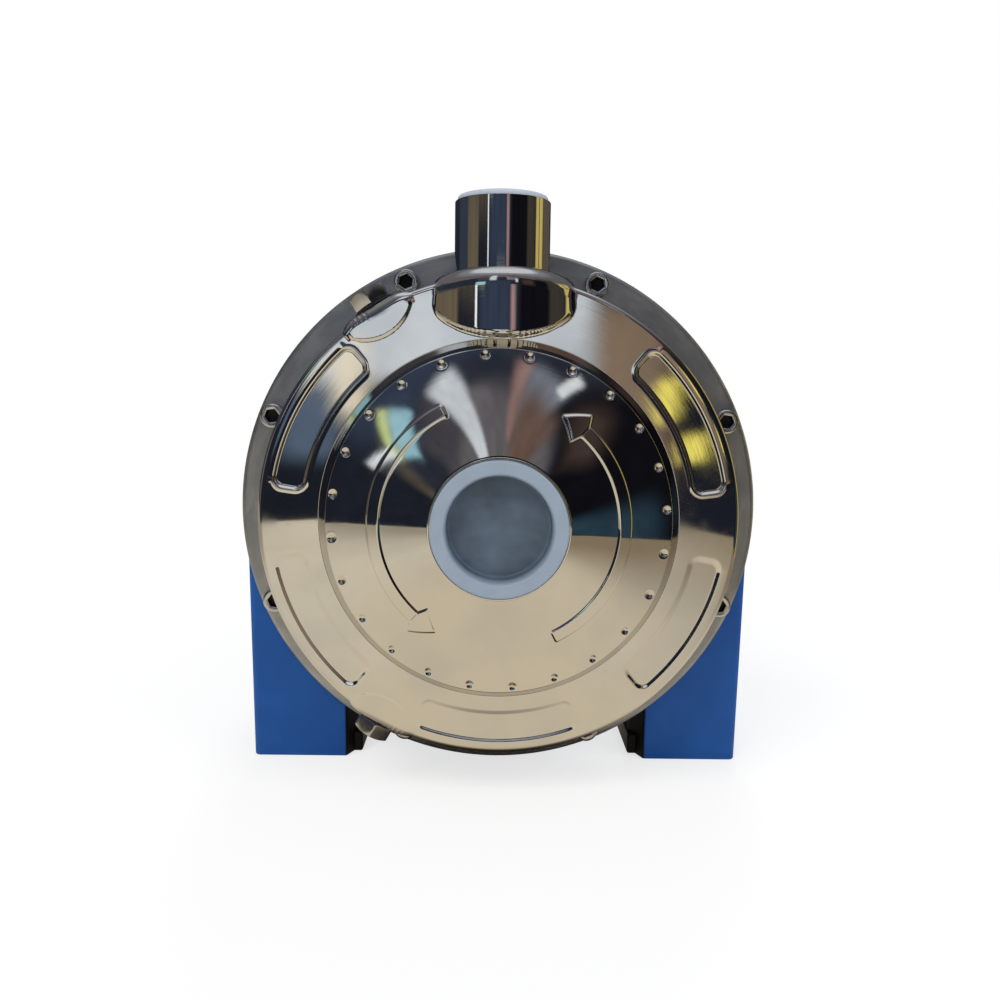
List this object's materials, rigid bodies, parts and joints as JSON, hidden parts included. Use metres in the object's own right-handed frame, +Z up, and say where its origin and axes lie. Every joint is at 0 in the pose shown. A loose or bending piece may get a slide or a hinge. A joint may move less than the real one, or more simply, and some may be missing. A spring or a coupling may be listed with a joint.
{
  "type": "centrifugal pump",
  "caption": "Close-coupled centrifugal pump with a pressed steel casing, axial suction, upright discharge, capped ports, cast bracket on two legs and a finned electric motor.",
  "frame": {"origin": "centre of the bounding box in X and Y, on the plane of the soles", "axes": "+Y along the shaft towards the motor's fan, +X to the right as seen from the suction port, +Z up"},
  "size_m": [0.2128, 0.3216, 0.2312],
  "materials": {
    "polished_steel": "bright pressed stainless steel",
    "brushed_steel": "satin stainless steel",
    "dark_steel": "plain machined steel",
    "blue_iron": "blue paint on a casting",
    "blue_aluminium": "blue paint on die-cast aluminium",
    "blue_sheet": "blue paint on pressed sheet",
    "white_plastic": "soft translucent white",
    "black_plastic": "fine grain",
    "black_rubber": "matte",
    "copper_winding": "varnished copper wire",
    "core_steel": "stacked sheets",
    "ceramic": "ground ceramic",
    "carbon": "lapped carbon"
  },
  "bodies": {
    "housing": {"pump_casing": "polished_steel", "suction_collar": "polished_steel", "discharge_pipe": "polished_steel", "bolt_ring": "brushed_steel", "casing_screw_1": "dark_steel", "casing_screw_2": "dark_steel", "casing_screw_3": "dark_steel", "casing_screw_4": "dark_steel", "casing_screw_5": "dark_steel", "casing_screw_6": "dark_steel", "casing_screw_7": "dark_steel", "casing_screw_8": "dark_steel", "casing_cover": "brushed_steel", "casing_o_ring": "black_rubber", "suction_plate": "brushed_steel", "seal_seat": "ceramic", "front_bearing_outer_ring": "brushed_steel", "rear_bearing_outer_ring": "brushed_steel", "motor_bracket": "blue_iron", "motor_frame": "blue_aluminium", "stator_core": "core_steel", "front_winding": "copper_winding", "rear_winding": "copper_winding", "end_shield": "blue_aluminium", "tie_rod_1": "dark_steel", "tie_rod_2": "dark_steel", "tie_rod_3": "dark_steel", "tie_rod_4": "dark_steel", "fan_cover": "blue_sheet", "fan_cover_screw_1": "dark_steel", "fan_cover_screw_2": "dark_steel", "fan_cover_screw_3": "dark_steel", "terminal_box": "black_plastic", "terminal_lid": "black_plastic", "lid_screw_1": "dark_steel", "lid_screw_2": "dark_steel", "lid_screw_3": "dark_steel", "lid_screw_4": "dark_steel", "cable_gland": "black_plastic", "terminal_board": "ceramic"},
    "rotor": {"shaft": "dark_steel", "impeller": "brushed_steel", "impeller_washer": "brushed_steel", "impeller_nut": "brushed_steel", "impeller_key": "dark_steel", "seal_ring": "carbon", "seal_spring": "dark_steel", "splash_ring": "black_rubber", "front_bearing_inner_ring": "brushed_steel", "front_bearing_balls": "brushed_steel", "rear_bearing_inner_ring": "brushed_steel", "rear_bearing_balls": "brushed_steel", "rotor_core": "core_steel", "fan": "black_plastic"},
    "suction_plug": {"suction_cap": "white_plastic"},
    "discharge_plug": {"discharge_cap": "white_plastic"},
    "priming_seal": {"priming_washer": "black_rubber"},
    "priming_screw": {"priming_plug": "dark_steel"},
    "drain_seal": {"drain_washer": "black_rubber"},
    "drain_screw": {"drain_plug": "dark_steel"}
  },
  "joints": [
    {"name": "shaft_turn", "type": "hinge", "parent": "housing", "child": "rotor", "pos_m": [0, 0, 0.11], "axis": [0, 1, 0], "continuous": true},
    {"name": "suction_cap_pull", "type": "slide", "parent": "housing", "child": "suction_plug", "axis": [0, -1, 0], "range_m": [0, 0.03]},
    {"name": "discharge_cap_pull", "type": "slide", "parent": "housing", "child": "discharge_plug", "axis": [0, 0, 1], "range_m": [0, 0.03]},
    {"name": "priming_lift", "type": "slide", "parent": "housing", "child": "priming_seal", "axis": [-0.515, 0, 0.8572], "range_m": [0, 0.0081]},
    {"name": "priming_turn", "type": "hinge", "parent": "priming_seal", "child": "priming_screw", "pos_m": [0, -0.12475, 0.11], "axis": [-0.515, 0, 0.8572], "range_deg": [0, 2160]},
    {"name": "drain_lift", "type": "slide", "parent": "housing", "child": "drain_seal", "axis": [-0.5, 0, -0.866], "range_m": [0, 0.0081]},
    {"name": "drain_turn", "type": "hinge", "parent": "drain_seal", "child": "drain_screw", "pos_m": [0, -0.12475, 0.11], "axis": [-0.5, 0, -0.866], "range_deg": [0, 2160]}
  ],
  "couplings": [
    {"joint": "priming_lift", "follows": "priming_turn", "m_per_rad": 0.00021279},
    {"joint": "drain_lift", "follows": "drain_turn", "m_per_rad": 0.00021279}
  ]
}
